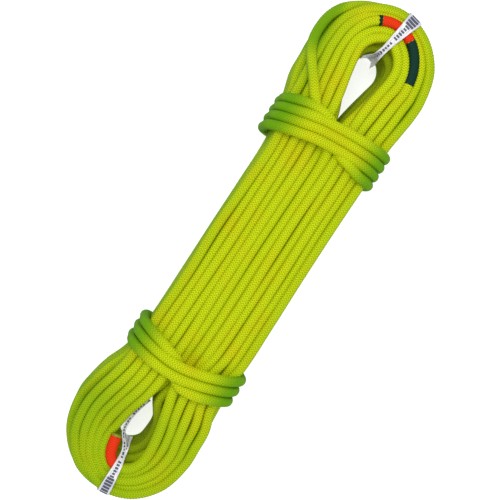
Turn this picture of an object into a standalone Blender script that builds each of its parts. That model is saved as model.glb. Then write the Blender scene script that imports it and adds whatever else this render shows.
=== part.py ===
"""Dynamic climbing rope, 10 mm by 40 m, in the flat hank it leaves the factory in.

The hank lies on its wide side, its long axis along Y. Its two wraps carry it on the floor at Z = 0.
Units are metres. The origin is under the middle of the whole object.
"""

import math

import bmesh
import bpy
from mathutils import Vector

# --- driving dimensions -------------------------------------------------------------------------------
ROPE_RADIUS = 0.005
GAP = 0.0003                 # kept between pieces that touch
WELD = 0.00001
FACET = math.cos(math.pi / 8)     # an eight-sided tube's flats lie this share of its radius out

# The wound bundle between the wraps, in front view: six levels of rope, with a wrap below and one above.
BUNDLE_LEVELS = 6
LEVEL_PITCH = 0.0093
COLUMN_STAGGER = 0.0026      # each second column lies this much higher
BUNDLE_HEIGHT = (BUNDLE_LEVELS - 1) * LEVEL_PITCH + 2 * ROPE_RADIUS + COLUMN_STAGGER
BUNDLE_BOTTOM = 2 * ROPE_RADIUS + GAP
BUNDLE_TOP = BUNDLE_BOTTOM + BUNDLE_HEIGHT
EDGE_ROUND = 0.008
# Both loops hang down past the wraps until they all but rest on the floor.
DROOP = 0.0088
DROOP_START = 0.150
DROOP_END = 0.222
DROOP_CUTS = 6

# Plan view. The waist is what the wraps hold together, and a loop of the hank is at each end.
WAIST_LEFT = -0.0445
WAIST_LEFT_EDGE = ((0.0060, 0.1500), (0.0, 0.1000), (0.0, 0.0), (0.0, -0.1000), (0.0020, -0.1490))
WAIST_RIGHT = 0.0564
WAIST_RIGHT_YS = (-0.1490, -0.1000, 0.0, 0.1000, 0.1500)
TOP_CENTRE = (-0.0015, 0.2050)
TOP_HALF_WIDTH = 0.0640
TOP_END_Y = 0.2705
# Left of the top loop the outline keeps inside the loose lap.
TOP_LEFT_EDGE = ((-0.0270, 0.2570), (-0.0440, 0.2380), (-0.0530, 0.2180), (-0.0562, 0.1960),
                 (-0.0550, 0.1750))
BOTTOM_CENTRE = (0.0015, -0.2080)
BOTTOM_HALF_WIDTH = 0.0620
BOTTOM_END_Y = -0.2705
BOTTOM_SHOULDER = (-0.0590, -0.1900)

# The eyes: teardrops with their points under the wraps.
TOP_EYE = ((0.0029, 0.1490), (0.0075, 0.1680), (0.0145, 0.1900), (0.0172, 0.2130), (0.0015, 0.2274),
           (-0.0145, 0.2130), (-0.0105, 0.1880), (-0.0035, 0.1640))
BOTTOM_EYE = ((0.0060, -0.1560), (0.0030, -0.1640), (-0.0070, -0.1800), (-0.0130, -0.2060),
              (-0.0120, -0.2200), (0.0040, -0.2357), (0.0175, -0.2270), (0.0190, -0.2120),
              (0.0140, -0.1850), (0.0095, -0.1660))

# The wraps: closed turns of rope round the waist, beside each other along Y.
WRAP_PITCH = 2 * ROPE_RADIUS + GAP
WRAP_CORNER = EDGE_ROUND + ROPE_RADIUS + GAP
TOP_WRAP_FIRST_Y = 0.1420
TOP_WRAP_TURNS = 4
BOTTOM_WRAP_FIRST_Y = -0.1170
BOTTOM_WRAP_TURNS = 3
TOP_WRAP_SPREAD = 0.0050     # how far past the waist's left each wrap reaches
BOTTOM_WRAP_SPREAD = 0.0020
CORNER_STEPS = 5

# The rope inside a sleeve is squeezed a little, and the sleeve stands as much proud of it.
SQUEEZED_RADIUS = 0.0047
SLEEVE_INNER = SQUEEZED_RADIUS + GAP
SLEEVE_WALL = 0.0004
SHEATH_WALL = 0.0011
STRAND_RADIUS = 0.0009
STRAND_ORBIT = 0.0020
OUTER_STRANDS = 6
STRAND_TWIST = math.radians(200)
RIBBON_WIDTH = 0.0014
RIBBON_THICKNESS = 0.00015
RIBBON_ORBIT = 0.0031
CORE_INSET = 0.0012          # the core stops this far short of the sheath's ends
TIP_LENGTH = 0.0022
SHEATH_LENGTH = 0.042
END_SLEEVE_LENGTH = 0.033
TUCKED_SLEEVE_LENGTH = 0.014

TAPE_THICKNESS = 0.0004
TAPE_HALF_WIDTH = 0.0065
TAPE_EASE = 0.0009           # how loosely a tape lies under the bundle
TAPE_EASE_ABOVE = 0.0032     # and over it, where sleeved strands stand proud
TOP_TAPE_MIDDLE = (0.0062, 0.2474)
TOP_TAPE_HALF_DEPTH = 0.0247
TOP_TAPE_TURN = math.radians(-12)
BOTTOM_TAPE_MIDDLE = (0.0058, -0.2523)
BOTTOM_TAPE_HALF_DEPTH = 0.0205
TAPE_TAIL_HALF_WIDTH = 0.0030
TAPE_TAIL_DROP = 0.0170      # the tail's middle, below the top of the loop
TAPE_TAIL_ROUTE = ((0.0020, -0.2330), (-0.0030, -0.2300), (-0.0075, -0.2230), (-0.0100, -0.2130),
                   (-0.0095, -0.2000), (-0.0065, -0.1880), (-0.0010, -0.1750))

# --- routes of the rope's centre, in plan, and its height over the bundle's top there -----------------
IN_TOP_LEVEL = -0.0057       # a sleeved strand lies flush with the bundle's top
STANDS_PROUD = -0.0028       # a sleeved strand shows above it, in a groove
# One lap bulges out at the left of the top loop, then crosses inwards over its neighbours: (x, y, height).
LOOSE_LAP = ((-0.0432, 0.2568, -0.0150), (-0.0528, 0.2440, -0.0150), (-0.0598, 0.2300, -0.0140),
             (-0.0618, 0.2160, -0.0110), (-0.0621, 0.2050, -0.0040), (-0.0611, 0.1960, 0.0030),
             (-0.0570, 0.1860, 0.0062), (-0.0500, 0.1760, 0.0058), (-0.0395, 0.1640, 0.0056),
             (-0.0350, 0.1590, 0.0056))
# The rope's outer end comes out from under the bottom wrap and lies round the bottom eye.
END_ROUTE = ((0.0145, -0.1548), (0.0172, -0.1680), (0.0205, -0.1880), (0.0235, -0.2080),
             (0.0238, -0.2240), (0.0190, -0.2350), (0.0105, -0.2415), (0.0010, -0.2430),
             (-0.0055, -0.2370), (-0.0095, -0.2280), (-0.0119, -0.2160))
# The rope's inner end is tucked under the bottom wrap.
TUCKED_ROUTE = ((-0.0060, -0.1235), (-0.0010, -0.1310), (0.0050, -0.1380), (0.0120, -0.1440))
# The stretch with the middle mark is the third strand from the outside of the top loop.
MARK_ROUTE = ((-0.0290, 0.2430), (-0.0180, 0.2500), (-0.0040, 0.2538), (0.0100, 0.2535),
              (0.0230, 0.2475), (0.0330, 0.2370), (0.0385, 0.2240), (0.0400, 0.2080))
MARK_RING = (0.010, 0.014)       # each sleeve's start and end, along the marked stretch
MARK_RED = (0.0144, 0.0500)
MARK_GREEN = (0.0504, 0.0890)
ROUTE_STEP = 0.0030
FINE_STEPS = 16
TUBE_RESOLUTION = 2              # eight sides

COLOURS = {
    "rope_green": ((0.50, 0.66, 0.03), 0.62),
    "core_white": ((0.86, 0.86, 0.82), 0.70),
    "sleeve_red": ((0.78, 0.05, 0.01), 0.40),
    "sleeve_dark_green": ((0.01, 0.06, 0.04), 0.35),
    "tape_white": ((0.84, 0.84, 0.86), 0.45),
    "fused_nylon": ((0.42, 0.52, 0.06), 0.25),
}


# --- helpers ------------------------------------------------------------------------------------------
def clear_scene():
    for old in list(bpy.data.objects):
        bpy.data.objects.remove(old, do_unlink=True)


def new_collection(name):
    collection = bpy.data.collections.new(name)
    bpy.context.scene.collection.children.link(collection)
    return collection


def material(name):
    colour, roughness = COLOURS[name]
    made = bpy.data.materials.get(name) or bpy.data.materials.new(name)
    made.use_nodes = True
    shader = made.node_tree.nodes["Principled BSDF"]
    shader.inputs["Base Color"].default_value = (*colour, 1.0)
    shader.inputs["Roughness"].default_value = roughness
    shader.inputs["Metallic"].default_value = 0.0
    return made


def droop(y):
    """How far the bundle lies below its height at the waist."""
    share = min(max((abs(y) - DROOP_START) / (DROOP_END - DROOP_START), 0.0), 1.0)
    return DROOP * share * share * (3 - 2 * share)


def smooth_route(points):
    """A fine polyline along a smooth curve through the route's own points, in world space."""
    ways = [Vector((x, y, BUNDLE_TOP - droop(y) + over)) for x, y, over in points]
    ends = [ways[0] * 2 - ways[1]] + ways + [ways[-1] * 2 - ways[-2]]
    fine = []
    for a, b, c, d in zip(ends, ends[1:], ends[2:], ends[3:]):
        for i in range(FINE_STEPS):
            t = i / FINE_STEPS
            fine.append(0.5 * (2 * b + (c - a) * t + (2 * a - 5 * b + 4 * c - d) * t * t
                               + (3 * b - a - 3 * c + d) * t ** 3))
    return fine + [ways[-1]]


def level_route(plan, over):
    return smooth_route([(x, y, over) for x, y in plan])


def length_of(points):
    return sum((b - a).length for a, b in zip(points, points[1:]))


def stretch_of(points, start, end):
    """Points of a route between two distances along it. A short step at each end squares the cut."""
    count = max(2, round((end - start) / ROUTE_STEP) + 1)
    wanted = [start + (end - start) * i / (count - 1) for i in range(count)]
    wanted = wanted[:1] + [start + GAP] + wanted[1:-1] + [end - GAP] + wanted[-1:]
    found = []
    walked = 0.0
    for a, b in zip(points, points[1:]):
        step = (b - a).length
        while wanted and (wanted[0] <= walked + step or b is points[-1]):
            found.append(a.lerp(b, min(max((wanted.pop(0) - walked) / step, 0.0), 1.0)))
        walked += step
    return found


def tube(name, points, radius, colour, collection, closed=False, capped=True, turned=0.0):
    """An eight-sided tube along points. A turned one has flats, not an edge, above and below."""
    curve = bpy.data.curves.new(name, "CURVE")
    curve.dimensions = "3D"
    curve.bevel_depth = radius
    curve.bevel_resolution = TUBE_RESOLUTION
    curve.use_fill_caps = capped
    spline = curve.splines.new("POLY")
    spline.points.add(len(points) - 1)
    spline.use_cyclic_u = closed
    for target, point in zip(spline.points, points):
        target.co = (*point, 1.0)
        target.tilt = turned
    curve.materials.append(material(colour))
    spline.use_smooth = True
    made = bpy.data.objects.new(name, curve)
    collection.objects.link(made)
    return made


def hollow_tube(name, points, inner, wall, colour, collection):
    made = tube(name, points, inner, colour, collection, capped=False)
    shell = made.modifiers.new("wall", "SOLIDIFY")
    shell.thickness = wall
    shell.offset = 1.0
    return made


def as_mesh(made):
    """The object's evaluated shape as a welded mesh object, in the curve's place."""
    bpy.context.view_layer.update()
    evaluated = made.evaluated_get(bpy.context.evaluated_depsgraph_get())
    mesh = bpy.data.meshes.new_from_object(evaluated)
    name, place, collection = made.name, made.matrix_world.copy(), made.users_collection[0]
    bpy.data.objects.remove(made, do_unlink=True)
    mesh.name = name
    work = bmesh.new()
    work.from_mesh(mesh)
    bmesh.ops.remove_doubles(work, verts=work.verts, dist=WELD)
    bmesh.ops.recalc_face_normals(work, faces=work.faces)
    work.to_mesh(mesh)
    work.free()
    solid = bpy.data.objects.new(name, mesh)
    solid.matrix_world = place
    collection.objects.link(solid)
    return solid


def boolean(solid, other, operation):
    other.hide_render = True
    other.display_type = "WIRE"
    change = solid.modifiers.new(operation.lower() + "_" + other.name, "BOOLEAN")
    change.operation = operation
    change.object = other


def cut_groove(bundle, name, route, radius, cutters):
    """Room for a piece that lies in the bundle's top level, GAP clear of it all round."""
    points = stretch_of(route, 0.0, length_of(route))
    first = points[0] + (points[0] - points[1]).normalized() * GAP
    last = points[-1] + (points[-1] - points[-2]).normalized() * GAP
    cutter = tube(name, [first] + points[1:-1] + [last], radius + GAP / FACET, "rope_green", cutters)
    boolean(bundle, as_mesh(cutter), "DIFFERENCE")


def rounded_rectangle(left, right, low, high, radius):
    """Points round a rectangle with quarter-circle corners, as (across, up)."""
    corners = ((right - radius, low + radius, -90), (right - radius, high - radius, 0),
               (left + radius, high - radius, 90), (left + radius, low + radius, 180))
    points = []
    for x, z, start in corners:
        for i in range(CORNER_STEPS + 1):
            angle = math.radians(start + 90 * i / CORNER_STEPS)
            points.append((x + radius * math.cos(angle), z + radius * math.sin(angle)))
    return points


def add_outline(curve, points):
    spline = curve.splines.new("BEZIER")
    spline.bezier_points.add(len(points) - 1)
    spline.use_cyclic_u = True
    for target, (x, y) in zip(spline.bezier_points, points):
        target.co = (x, y, 0.0)
        target.handle_left_type = target.handle_right_type = "AUTO"


# --- the hank -----------------------------------------------------------------------------------------
def half_round(centre, half_width, end_y, degrees):
    """Points of a loop's outer edge, in plan, at these angles from its right."""
    x, y = centre
    reach = end_y - y
    angles = [math.radians(a) for a in degrees]
    return [(x + half_width * math.cos(a), y + reach * math.sin(a)) for a in angles]


def bundle_outline():
    right = [(WAIST_RIGHT, y) for y in WAIST_RIGHT_YS]
    top = half_round(TOP_CENTRE, TOP_HALF_WIDTH, TOP_END_Y, (0, 30, 60, 90))
    left = [(WAIST_LEFT - wider, y) for wider, y in WAIST_LEFT_EDGE]
    bottom = half_round(BOTTOM_CENTRE, BOTTOM_HALF_WIDTH, BOTTOM_END_Y, (180, 150, 120, 90, 60, 30, 0))
    return right + top + list(TOP_LEFT_EDGE) + left + [BOTTOM_SHOULDER] + bottom


def make_bundle(parts):
    """One closed solid of the laps' outer shape, with both eyes."""
    curve = bpy.data.curves.new("hank_bundle", "CURVE")
    curve.dimensions = "2D"
    curve.fill_mode = "BOTH"
    curve.resolution_u = 3
    curve.extrude = BUNDLE_HEIGHT / 2 - EDGE_ROUND
    curve.bevel_depth = EDGE_ROUND
    curve.bevel_resolution = 1
    curve.offset = -EDGE_ROUND
    for outline in (bundle_outline(), TOP_EYE, BOTTOM_EYE):
        add_outline(curve, outline)
    curve.materials.append(material("rope_green"))
    flat = bpy.data.objects.new("hank_bundle", curve)
    flat.location.z = BUNDLE_BOTTOM + BUNDLE_HEIGHT / 2
    parts.objects.link(flat)
    bundle = as_mesh(flat)
    let_ends_droop(bundle)
    return bundle


def let_ends_droop(bundle):
    work = bmesh.new()
    work.from_mesh(bundle.data)
    for side in (-1, 1):
        for i in range(DROOP_CUTS + 1):
            y = side * (DROOP_START + (DROOP_END - DROOP_START) * i / DROOP_CUTS)
            everything = list(work.verts) + list(work.edges) + list(work.faces)
            bmesh.ops.bisect_plane(work, geom=everything, plane_co=(0, y, 0), plane_no=(0, 1, 0), dist=WELD)
    for vert in work.verts:
        vert.co.z -= droop(vert.co.y)
    bmesh.ops.triangulate(work, faces=work.faces)
    work.to_mesh(bundle.data)
    work.free()


# --- the wraps ----------------------------------------------------------------------------------------
def wrap_section(y, left, right):
    """The middle line of one turn: a rounded rectangle round the bundle."""
    out = ROPE_RADIUS + GAP
    section = rounded_rectangle(left - out, right + out, ROPE_RADIUS, BUNDLE_TOP + out, WRAP_CORNER)
    return [Vector((x, y, z)) for x, z in section]


def make_wraps(parts):
    wraps = (("top_wrap_turn_", TOP_WRAP_FIRST_Y, TOP_WRAP_TURNS, TOP_WRAP_SPREAD),
             ("bottom_wrap_turn_", BOTTOM_WRAP_FIRST_Y, BOTTOM_WRAP_TURNS, BOTTOM_WRAP_SPREAD))
    for name, first_y, turns, spread in wraps:
        for i in range(turns):
            y = first_y - i * WRAP_PITCH
            points = wrap_section(y, WAIST_LEFT - spread, WAIST_RIGHT + GAP)
            tube(f"{name}{i + 1}", points, ROPE_RADIUS / FACET, "rope_green", parts, closed=True,
                 turned=math.pi / 8)


# --- the rope's ends and its middle mark --------------------------------------------------------------
def side_of(points, i, angle, orbit):
    """A point beside the i-th point of a route, at an angle round it."""
    along = (points[min(i + 1, len(points) - 1)] - points[max(i - 1, 0)]).normalized()
    across = along.cross(Vector((0, 0, 1))).normalized()
    up = across.cross(along)
    return points[i] + orbit * (across * math.cos(angle) + up * math.sin(angle))


def make_core(route, parts):
    """The twisted core strands inside the sheath, and the thin printed ribbon beside them."""
    tube("core_strand_centre", route, STRAND_RADIUS, "core_white", parts)
    for k in range(OUTER_STRANDS):
        start = 2 * math.pi * k / OUTER_STRANDS
        points = [side_of(route, i, start + STRAND_TWIST * i / (len(route) - 1), STRAND_ORBIT)
                  for i in range(len(route))]
        tube(f"core_strand_{k + 1}", points, STRAND_RADIUS, "core_white", parts)


def make_ribbon(route, parts):
    """The year ribbon: a flat strip that lies between the core and the sheath."""
    curve = bpy.data.curves.new("core_id_ribbon", "CURVE")
    curve.dimensions = "3D"
    curve.extrude = RIBBON_WIDTH / 2
    spline = curve.splines.new("POLY")
    spline.points.add(len(route) - 1)
    for i, target in enumerate(spline.points):
        target.co = (*side_of(route, i, math.pi / 2, RIBBON_ORBIT), 1.0)
        target.tilt = math.pi / 2
    curve.materials.append(material("tape_white"))
    made = bpy.data.objects.new("core_id_ribbon", curve)
    shell = made.modifiers.new("thickness", "SOLIDIFY")
    shell.thickness = RIBBON_THICKNESS
    shell.offset = 0.0
    parts.objects.link(made)


def make_outer_end(bundle, parts, cutters):
    route = level_route(END_ROUTE, STANDS_PROUD)
    total = length_of(route)
    sheath_start = total - TIP_LENGTH - GAP - SHEATH_LENGTH
    plain = stretch_of(route, 0.0, sheath_start - GAP)
    sheath = stretch_of(route, sheath_start, sheath_start + SHEATH_LENGTH)
    sleeve = stretch_of(route, total - END_SLEEVE_LENGTH, total)
    tip = stretch_of(route, total - TIP_LENGTH, total)
    tube("end_run", plain, ROPE_RADIUS, "rope_green", parts)
    hollow_tube("end_sheath", sheath, SQUEEZED_RADIUS - SHEATH_WALL, SHEATH_WALL, "rope_green", parts)
    core = stretch_of(route, sheath_start + CORE_INSET, sheath_start + SHEATH_LENGTH - CORE_INSET)
    make_core(core, parts)
    make_ribbon(core, parts)
    hollow_tube("end_sleeve_red", sleeve, SLEEVE_INNER, SLEEVE_WALL, "sleeve_red", parts)
    tube("end_tip_fused", tip, SQUEEZED_RADIUS, "fused_nylon", parts)
    cut_groove(bundle, "groove_outer_end", route, SLEEVE_INNER + SLEEVE_WALL, cutters)


def make_tucked_end(bundle, parts, cutters):
    route = level_route(TUCKED_ROUTE, IN_TOP_LEVEL)
    total = length_of(route)
    run = stretch_of(route, 0.0, total - TIP_LENGTH - GAP)
    tip = stretch_of(route, total - TIP_LENGTH, total)
    sleeve = stretch_of(route, total - TUCKED_SLEEVE_LENGTH, total)
    tube("tucked_end_run", run, SQUEEZED_RADIUS, "rope_green", parts)
    tube("tucked_end_tip_fused", tip, SQUEEZED_RADIUS, "fused_nylon", parts)
    hollow_tube("tucked_end_sleeve_red", sleeve, SLEEVE_INNER, SLEEVE_WALL, "sleeve_red", parts)
    cut_groove(bundle, "groove_tucked_end", route, SLEEVE_INNER + SLEEVE_WALL, cutters)


def make_middle_mark(bundle, parts, cutters):
    route = level_route(MARK_ROUTE, STANDS_PROUD)
    tube("middle_mark_run", stretch_of(route, 0.0, length_of(route)), SQUEEZED_RADIUS, "rope_green", parts)
    sleeves = (("middle_mark_ring", MARK_RING, "sleeve_dark_green"),
               ("middle_mark_red", MARK_RED, "sleeve_red"),
               ("middle_mark_green", MARK_GREEN, "sleeve_dark_green"))
    for name, (start, end), colour in sleeves:
        hollow_tube(name, stretch_of(route, start, end), SLEEVE_INNER, SLEEVE_WALL, colour, parts)
    cut_groove(bundle, "groove_middle_mark", route, SLEEVE_INNER + SLEEVE_WALL, cutters)


def make_loose_lap(parts):
    route = smooth_route(LOOSE_LAP)
    tube("loose_lap", stretch_of(route, 0.0, length_of(route)), ROPE_RADIUS, "rope_green", parts)


# --- the tapes ----------------------------------------------------------------------------------------
def add_poly(curve, points, closed=True):
    spline = curve.splines.new("POLY")
    spline.points.add(len(points) - 1)
    spline.use_cyclic_u = closed
    for target, (x, y) in zip(spline.points, points):
        target.co = (x, y, 0.0, 1.0)


def tape_band(name, middle, half_depth, turned, parts):
    """A closed band of tape through the eye and round the loop's end, about a middle given in plan."""
    low = BUNDLE_BOTTOM - DROOP - TAPE_EASE
    high = BUNDLE_TOP - DROOP + TAPE_EASE_ABOVE
    curve = bpy.data.curves.new(name, "CURVE")
    curve.dimensions = "2D"
    curve.fill_mode = "BOTH"
    curve.extrude = TAPE_HALF_WIDTH
    for out in (0.0, TAPE_THICKNESS):
        reach = half_depth + out
        add_poly(curve, rounded_rectangle(-reach, reach, low - out, high + out, EDGE_ROUND + out))
    curve.materials.append(material("tape_white"))
    band = bpy.data.objects.new(name, curve)
    band.location = (*middle, 0.0)
    band.rotation_euler = (math.pi / 2, 0.0, math.pi / 2 + turned)
    parts.objects.link(band)
    return band


def make_tapes(parts, cutters):
    tape_band("tape_top", TOP_TAPE_MIDDLE, TOP_TAPE_HALF_DEPTH, TOP_TAPE_TURN, parts)
    band = as_mesh(tape_band("tape_bottom", BOTTOM_TAPE_MIDDLE, BOTTOM_TAPE_HALF_DEPTH, 0.0, parts))
    boolean(band, tape_tail(cutters), "UNION")


def tape_tail(cutters):
    """The bottom tape's loose end, which lies along the left wall of the eye."""
    curve = bpy.data.curves.new("tape_tail", "CURVE")
    curve.dimensions = "2D"
    curve.fill_mode = "NONE"
    curve.extrude = TAPE_TAIL_HALF_WIDTH
    add_poly(curve, TAPE_TAIL_ROUTE, closed=False)
    tail = bpy.data.objects.new("tape_tail", curve)
    tail.location.z = BUNDLE_TOP - DROOP - TAPE_TAIL_DROP
    shell = tail.modifiers.new("thickness", "SOLIDIFY")
    shell.thickness = TAPE_THICKNESS
    shell.offset = 0.0
    cutters.objects.link(tail)
    return as_mesh(tail)


def main():
    clear_scene()
    parts = new_collection("climbing_rope_hank")
    cutters = new_collection("cutters")
    bundle = make_bundle(parts)
    make_wraps(parts)
    make_loose_lap(parts)
    make_outer_end(bundle, parts, cutters)
    make_tucked_end(bundle, parts, cutters)
    make_middle_mark(bundle, parts, cutters)
    make_tapes(parts, cutters)


main()
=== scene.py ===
"""Looks of a factory-wound climbing rope: one braided rope in a flat hank, with its sleeves and tapes.

Units are metres, in the CAD model's frame, but for the tables in millimetres that go through metres(). The
rope is followed from its tucked inner end, through the bottom wrap, the top wrap and every lap of the
bundle, to its outer end in the bottom eye.
"""

import math

import bpy
import numpy as np
from mathutils import Matrix, Vector


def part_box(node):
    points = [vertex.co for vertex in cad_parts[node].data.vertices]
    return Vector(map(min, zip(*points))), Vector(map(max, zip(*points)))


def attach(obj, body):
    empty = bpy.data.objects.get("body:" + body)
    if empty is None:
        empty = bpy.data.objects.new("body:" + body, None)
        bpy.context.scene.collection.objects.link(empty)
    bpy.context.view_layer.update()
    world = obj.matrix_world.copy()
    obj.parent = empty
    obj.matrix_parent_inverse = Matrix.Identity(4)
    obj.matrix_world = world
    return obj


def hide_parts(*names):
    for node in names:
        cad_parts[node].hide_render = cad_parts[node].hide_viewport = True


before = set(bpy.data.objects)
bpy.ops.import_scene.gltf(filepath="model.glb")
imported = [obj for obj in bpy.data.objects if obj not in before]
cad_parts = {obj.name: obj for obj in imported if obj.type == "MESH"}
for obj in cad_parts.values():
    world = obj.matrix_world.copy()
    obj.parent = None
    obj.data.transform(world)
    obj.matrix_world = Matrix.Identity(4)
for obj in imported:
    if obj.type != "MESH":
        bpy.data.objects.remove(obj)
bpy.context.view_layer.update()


def metres(rows):
    """Rows of millimetres, in metres."""
    return [tuple(value / 1000 for value in row) for row in rows]


# --- the camera: above the hank, a little to its left, turned so that the hank leans right ---
CAMERA_FOOT = (-0.103, 0.001)
CAMERA_ABOVE = 0.906            # over the bundle's top
CAMERA_AIM = (-0.0028, -0.0011)
CAMERA_LEAN = math.radians(33.25)
CAMERA_LENS = 70.0

# --- sizes, repeated from the CAD model ---
ROPE_RADIUS = 0.005
LEVEL_PITCH = 0.0093
COLUMN_STAGGER = 0.0026
COLUMNS = 6
TOP_LEVEL = 5
BUNDLE_BOTTOM = 0.0103
BUNDLE_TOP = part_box("hank_bundle")[1].z
DROOP = 0.0088
DROOP_START = 0.15
DROOP_END = 0.222
FIRST_LEVEL_Z = BUNDLE_BOTTOM + ROPE_RADIUS

SLEEVE_RADIUS = ROPE_RADIUS + 0.0003
TIP_LENGTH = 0.0022
TIP_SHARES = (0.0, 0.35, 0.6, 0.8, 0.92, 1.0)  # along the tip
TIP_SIZES = (1.04, 1.05, 1.0, 0.86, 0.62, 0.25)  # its radius there, as shares of the rope's
END_SLEEVE_LENGTH = 0.033
TUCKED_SLEEVE_LENGTH = 0.014

# --- the middle mark: places in plan on its lap, from right to left round the top loop ---
MARK_GREEN_END = (0.0386, 0.213)
MARK_RED_END = (0.0198, 0.251)
MARK_RING = (-0.017, 0.2505)
LOOP_RIGHT = (0.04, 0.205)      # the loop's own right and left side, which bound the search
LOOP_LEFT = (-0.045, 0.205)
RING_HALF = 0.0014
MARK_GAP = 0.0004

# --- the bundle's inner and outer edge in plan, at stations round one lap ---
# A lap runs up the right of the waist, round the top loop from right to left, down the left, and round
# the bottom loop from left to right. A shoulder's rows are (inner x, inner y, outer x, outer y), in
# millimetres.
WAIST_MIDDLE = 0.0055
WAIST_LEFT = -0.044
WAIST_RIGHT = 0.0562
WAIST_YS = (-0.1, -0.05, 0.0, 0.05, 0.1)
TOP_RIGHT_SHOULDER = metres((
    (5, 128, 56.6, 128), (4.7, 150, 57.2, 149), (7.8, 170, 60.3, 168), (12.5, 190, 62.6, 187)))
TOP_LEFT_SHOULDER = metres((
    (-11.8, 190, -61.5, 188), (-6.6, 170, -61.2, 169), (0.8, 150, -55.8, 149), (4.5, 128, -49.8, 128)))
BOTTOM_LEFT_SHOULDER = metres((
    (5.7, -125, -45, -125), (4, -150, -50, -149), (-4, -170, -57.2, -168), (-10.3, -190, -61.2, -188)))
BOTTOM_RIGHT_SHOULDER = metres((
    (10.5, -190, 62.7, -188), (8, -170, 61, -169), (6.5, -150, 58, -149), (5.8, -125, 56.6, -125)))
# In the bottom eye the lower levels' inner edge lies further in than the top level's.
BOTTOM_RIGHT_LOW = metres(((12, -190), (-0.5, -170), (2.5, -150), (5, -125)))
LOOP_ANGLES = (0, 30, 60, 90, 120, 150, 180)
# Each loop's edge as (centre x, centre y, half width right, half width left, reach).
TOP_INNER = (0.001, 0.2085, 0.015, 0.0145, 0.016)
TOP_OUTER = (-0.0015, 0.205, 0.0645, 0.0605, 0.0655)
BOTTOM_INNER = (0.0005, -0.209, 0.0135, 0.014, 0.0205)
BOTTOM_INNER_LOW = (0.0, -0.206, 0.0136, 0.0135, 0.018)
BOTTOM_OUTER = (0.0015, -0.208, 0.062, 0.065, 0.0625)

# The top level has no lap over column 0, so in the loops its laps lie between columns or over the next
# one in. For columns 1 to 5: the column place that a top-level lap takes at each station.
WHOLE_PLACES = (1, 2, 3, 4, 5)  # in the waist
TOP_PLACES_RIGHT = (
    (1, 2, 3, 4, 5), (0.8, 1.8, 2.85, 3.9, 4.95), (0.6, 1.65, 2.75, 3.85, 4.9),
    (0.42, 1.47, 2.57, 3.7, 4.85))
TOP_PLACES_LOOP = (
    (0.42, 1.47, 2.57, 3.7, 4.85), (0.6, 1.6, 2.75, 3.8, 4.85), (1, 1.9, 3.15, 3.95, 4.85),
    (1.35, 2.2, 3.35, 4.1, 4.8), (1, 1.9, 3, 3.95, 4.6), (0.5, 1.4, 2.4, 3.4, 4.3),
    (0.1, 1.1, 2.1, 3.15, 4.1))
TOP_PLACES_LEFT = (
    (0, 1, 2.05, 3.1, 4.05), (0.15, 1.15, 2.15, 3.15, 4.15), (0.6, 1.6, 2.6, 3.6, 4.6), (1, 2, 3, 4, 5))
BOTTOM_PLACES_LEFT = (
    (1, 2, 3, 4, 5), (0.6, 1.6, 2.6, 3.6, 4.6), (0.1, 1.1, 2.1, 3.1, 4.1), (0, 1, 2, 3.05, 4.05))
BOTTOM_PLACES_LOOP = (
    (0, 1, 2, 3.05, 4.05), (0.5, 1.4, 2.35, 3.3, 4.2), (1.5, 2.35, 3.15, 3.95, 4.6),
    (2.45, 3.3, 4.1, 4.8, 5), (2.3, 3.25, 4.1, 4.9, 5), (2.05, 3, 4, 4.95, 5), (1.9, 2.9, 3.95, 4.95, 5))
BOTTOM_PLACES_RIGHT = (
    (1.75, 2.8, 3.9, 4.95, 5), (1.45, 2.6, 3.8, 4.9, 5), (1.2, 2.3, 3.4, 4.5, 5), (1, 2, 3, 4, 5))
# How far each lap has moved to the next one's cell, at the bottom's right stations, under the wrap.
MOVES_OVER = (0.0, 0.0, 0.1, 0.55)
# The last top-level lap moves down earlier, at the bottom loop's stations, to make room for the outer end.
DROPS_EARLY = (0.0, 0.15, 0.4, 0.7, 0.9, 1.0, 1.0)

# The laps' cells in winding order, as (column from the inside, level from the floor).
CELLS = (
    (0, 4), (0, 3), (0, 2), (0, 1), (1, 1), (1, 0), (2, 0), (2, 1), (2, 2), (1, 2), (1, 3), (2, 3), (2, 4),
    (1, 4), (1, 5), (2, 5), (3, 5), (3, 4), (3, 3), (3, 2), (3, 1), (3, 0), (4, 0), (5, 0), (5, 1), (4, 1),
    (4, 2), (5, 2), (5, 3), (4, 3), (4, 4), (4, 5), (5, 5), (5, 4))
MARKED_LAP = CELLS.index((3, 5))
DROPPING_LAP = CELLS.index((5, 5))
INNER_LEVELS = {1: 0.4, 2: 1.6, 3: 2.8, 4: 4.0}  # column 0 has no lap at the floor's level
OUTER_LEFT_LEVELS = {0: 0.0, 1: 1.25, 2: 2.5, 3: 3.75, 4: 4.8}  # the loose lap is missing there

# --- the wraps: where each turn crosses the bundle's left and right side, and its top's middle ---
TOP_LEFT_X = -0.053
BOTTOM_LEFT_X = -0.049
WRAP_RIGHT_X = 0.0592
WRAP_CORNER = 0.015
CORNER_DEGREES = (30, 60)
TOP_LEFT_YS = (0.1365, 0.1268, 0.117, 0.107)
TOP_RIGHT_YS = (0.141, 0.1312, 0.1212, 0.1112)
TOP_MIDDLE_YS = (0.1392, 0.13, 0.1206)
BOTTOM_LEFT_YS = (-0.1105, -0.121, -0.1318)
BOTTOM_RIGHT_YS = (-0.11, -0.1215, -0.1332)
BOTTOM_MIDDLE_YS = (-0.1275, -0.1375)
TOP_FIRST_SLOPE = 0.33
BOTTOM_FIRST_SLOPE = -0.31
TOP_LAST_SLOPE = 0.06
BOTTOM_LAST_SLOPE = -0.36
HUMP = 0.0036                   # how far a wrap rises over a stretch of rope beneath it
HUMP_WIDTH = 0.012
TOP_HUMPS = (-0.022, -0.016, -0.01)  # where each turn rises, along x
BOTTOM_HUMPS = (0.0, 0.006)
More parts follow.
